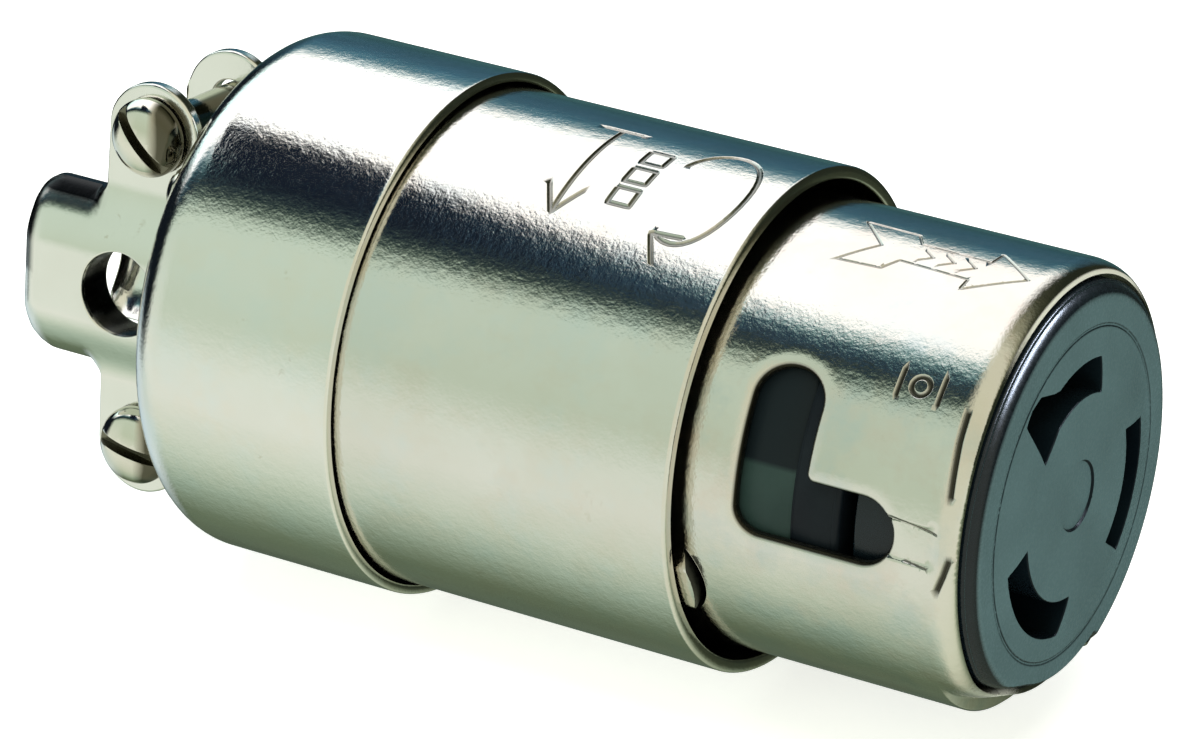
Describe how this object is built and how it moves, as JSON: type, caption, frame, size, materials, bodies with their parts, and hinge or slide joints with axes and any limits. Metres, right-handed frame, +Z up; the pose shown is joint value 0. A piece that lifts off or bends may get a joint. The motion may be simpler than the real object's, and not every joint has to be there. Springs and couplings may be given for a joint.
{
  "type": "locking cord connector body",
  "caption": "Armoured 50 A locking female connector body: nickel-plated steel shell, black insert with curved blade slots, bayonet-slotted nose and a screw-down cord clamp.",
  "frame": {"origin": "centre of the floor of the round recess in the mating face", "axes": "+X along the connector towards the mating end, +Z up with the connector lying on its side"},
  "size_m": [0.1211, 0.0572, 0.0572],
  "materials": {
    "nickel_plate": "bright nickel plate on drawn steel, faint grain",
    "screw_nickel": "nickel-plated screws, polished",
    "black_nylon": "black moulded nylon, satin to glossy",
    "brass": "bare brass",
    "plain_steel": "zinc-plated steel",
    "green_steel": "green-dyed zinc plate",
    "fibre": "grey-brown vulcanised fibre"
  },
  "bodies": {
    "shell": {"rear_cap": "nickel_plate", "middle_sleeve": "nickel_plate", "nose_shell": "nickel_plate", "insulating_liner": "fibre", "face_insert": "black_nylon", "contact_carrier": "black_nylon", "centre_screw": "plain_steel", "contact_1": "brass", "terminal_box_1": "brass", "contact_2": "brass", "terminal_box_2": "brass", "contact_3": "brass", "terminal_box_3": "brass", "ground_strap": "plain_steel", "assembly_screw_1": "screw_nickel", "assembly_screw_2": "screw_nickel", "clamp_jaw_far": "nickel_plate", "jaw_foot_screw_1": "screw_nickel", "jaw_foot_screw_2": "screw_nickel"},
    "moving_jaw": {"clamp_jaw_near": "nickel_plate"},
    "upper_clamp_screw": {"clamp_screw_upper": "screw_nickel"},
    "lower_clamp_screw": {"clamp_screw_lower": "screw_nickel"},
    "wire_plate_1": {"pressure_plate_1": "plain_steel"},
    "wire_screw_1": {"terminal_screw_1": "plain_steel"},
    "wire_plate_2": {"pressure_plate_2": "plain_steel"},
    "wire_screw_2": {"terminal_screw_2": "plain_steel"},
    "wire_plate_3": {"pressure_plate_3": "plain_steel"},
    "wire_screw_3": {"terminal_screw_3": "plain_steel"},
    "earth_plate": {"ground_plate": "plain_steel"},
    "earth_screw": {"ground_screw": "green_steel"}
  },
  "joints": [
    {"name": "clamp_jaw_close", "type": "slide", "parent": "shell", "child": "moving_jaw", "axis": [0, 0.9923, -0.1236], "range_m": [-0.0015, 0.006]},
    {"name": "clamp_screw_upper_turn", "type": "hinge", "parent": "moving_jaw", "child": "upper_clamp_screw", "pos_m": [-0.1058, 0.00217, 0.01747], "axis": [0, 0.9923, -0.1236], "range_deg": [-681, 2721]},
    {"name": "clamp_screw_lower_turn", "type": "hinge", "parent": "moving_jaw", "child": "lower_clamp_screw", "pos_m": [-0.1058, -0.00217, -0.01747], "axis": [0, 0.9923, -0.1236], "range_deg": [-681, 2721]},
    {"name": "pressure_plate_1_slide", "type": "slide", "parent": "shell", "child": "wire_plate_1", "axis": [0, 0.1908, -0.9816], "range_m": [0, 0.0032]},
    {"name": "terminal_screw_1_turn", "type": "hinge", "parent": "wire_plate_1", "child": "wire_screw_1", "pos_m": [-0.0645, -0.00368, 0.01895], "axis": [0, 0.1908, -0.9816], "range_deg": [0, 1271]},
    {"name": "pressure_plate_2_slide", "type": "slide", "parent": "shell", "child": "wire_plate_2", "axis": [0, -0.9511, 0.309], "range_m": [0, 0.0032]},
    {"name": "terminal_screw_2_turn", "type": "hinge", "parent": "wire_plate_2", "child": "wire_screw_2", "pos_m": [-0.0645, 0.01835, -0.00596], "axis": [0, -0.9511, 0.309], "range_deg": [0, 1271]},
    {"name": "pressure_plate_3_slide", "type": "slide", "parent": "shell", "child": "wire_plate_3", "axis": [0, 0.7193, 0.6947], "range_m": [0, 0.0032]},
    {"name": "terminal_screw_3_turn", "type": "hinge", "parent": "wire_plate_3", "child": "wire_screw_3", "pos_m": [-0.0645, -0.01388, -0.01341], "axis": [0, 0.7193, 0.6947], "range_deg": [0, 1271]},
    {"name": "ground_plate_slide", "type": "slide", "parent": "shell", "child": "earth_plate", "axis": [1, 0, 0], "range_m": [0, 0.0024]},
    {"name": "ground_screw_turn", "type": "hinge", "parent": "earth_plate", "child": "earth_screw", "pos_m": [-0.07, 0.01189, 0.01071], "axis": [1, 0, 0], "range_deg": [0, 1089]}
  ],
  "couplings": [
    {"joint": "clamp_screw_upper_turn", "follows": "clamp_jaw_close", "rad_per_m": 7913.3},
    {"joint": "clamp_screw_lower_turn", "follows": "clamp_jaw_close", "rad_per_m": 7913.3},
    {"joint": "terminal_screw_1_turn", "follows": "pressure_plate_1_slide", "rad_per_m": 6927.4},
    {"joint": "terminal_screw_2_turn", "follows": "pressure_plate_2_slide", "rad_per_m": 6927.4},
    {"joint": "terminal_screw_3_turn", "follows": "pressure_plate_3_slide", "rad_per_m": 6927.4},
    {"joint": "ground_screw_turn", "follows": "ground_plate_slide", "rad_per_m": 7913.3}
  ]
}
